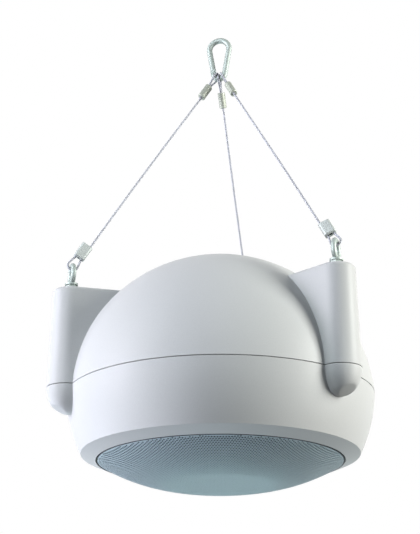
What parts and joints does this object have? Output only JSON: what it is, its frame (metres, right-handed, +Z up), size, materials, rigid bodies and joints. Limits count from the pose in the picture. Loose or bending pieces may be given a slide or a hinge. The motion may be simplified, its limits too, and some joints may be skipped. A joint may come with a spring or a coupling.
{
  "type": "pendant speaker",
  "caption": "Round pendant loudspeaker with a dished front grille and moulded arms, hung by wire ropes from a snap hook.",
  "frame": {"origin": "inside top of the snap hook, where the speaker hangs", "axes": "+Z up along the speaker's own axis, front of the picture towards -Y, +X to the right; the grille faces -Z"},
  "size_m": [0.4193, 0.4205, 0.6541],
  "materials": {
    "housing": "satin moulded plastic, light grey",
    "seam_rubber": "matte",
    "grille_steel": "satin paint on perforated sheet",
    "cloth": "open black cloth",
    "foam": "soft open foam",
    "black_steel": "black satin paint",
    "cone_paper": "coated pulp",
    "roll_rubber": "satin",
    "spider_cloth": "resin-set weave",
    "coil_wire": "enamelled copper winding",
    "ferrite": "sintered ferrite",
    "plated_steel": "zinc plated",
    "tweeter_silk": "coated silk",
    "black_plastic": "satin",
    "board_laminate": "lacquered laminate",
    "cream_film": "film capacitor wrap",
    "white_ceramic": "matte",
    "lamination": "varnished laminations",
    "screw_steel": "zinc plated",
    "rope_steel": "galvanised strands",
    "ferrule_aluminium": "pressed, satin",
    "grip_zinc": "cast zinc, satin"
  },
  "bodies": {
    "root": {"arm_nuts": "plated_steel", "arm_washers": "plated_steel", "cable_grip_back": "grip_zinc", "cable_grip_left": "grip_zinc", "cable_grip_right": "grip_zinc", "capacitors": "cream_film", "crossover_board": "board_laminate", "eyebolt_back": "plated_steel", "eyebolt_left": "plated_steel", "eyebolt_right": "plated_steel", "ferrule_back": "ferrule_aluminium", "ferrule_left": "ferrule_aluminium", "ferrule_right": "ferrule_aluminium", "frame_screws": "screw_steel", "grille": "grille_steel", "grille_cloth": "cloth", "grille_seal": "foam", "housing_screws": "screw_steel", "inductor": "coil_wire", "inlet_grommet": "seam_rubber", "inner_screws": "screw_steel", "lower_housing": "housing", "magnet": "ferrite", "port_tube": "black_plastic", "resistor": "white_ceramic", "seam_gasket": "seam_rubber", "snap_hook": "plated_steel", "terminal_block": "black_plastic", "top_plate": "plated_steel", "transformer_bracket": "plated_steel", "transformer_coil": "coil_wire", "transformer_core": "lamination", "tweeter_body": "black_plastic", "tweeter_bridge": "black_plastic", "tweeter_dome": "tweeter_silk", "upper_housing": "housing", "wire_rope_back": "rope_steel", "wire_rope_left": "rope_steel", "wire_rope_right": "rope_steel", "woofer_frame": "black_steel", "woofer_gasket": "foam", "woofer_spider": "spider_cloth", "woofer_surround": "roll_rubber", "yoke": "plated_steel"},
    "cone": {"woofer_cone": "cone_paper", "dust_cap": "cone_paper", "voice_coil": "coil_wire"},
    "gate": {"hook_gate": "plated_steel", "gate_pin": "plated_steel"}
  },
  "joints": [
    {"name": "cone_travel", "type": "slide", "parent": "root", "child": "cone", "axis": [0, 0, 1], "range_m": [-0.004, 0.004], "stiffness_N_per_m": 2500, "deforming": ["woofer_surround", "woofer_spider"]},
    {"name": "gate_hinge", "type": "hinge", "parent": "root", "child": "gate", "pos_m": [-0.00837, 0.00213, -0.04774], "axis": [0.247, 0.969, 0], "range_deg": [0, 28], "stiffness_Nm_per_rad": 0.03, "springref_deg": -17.19}
  ]
}
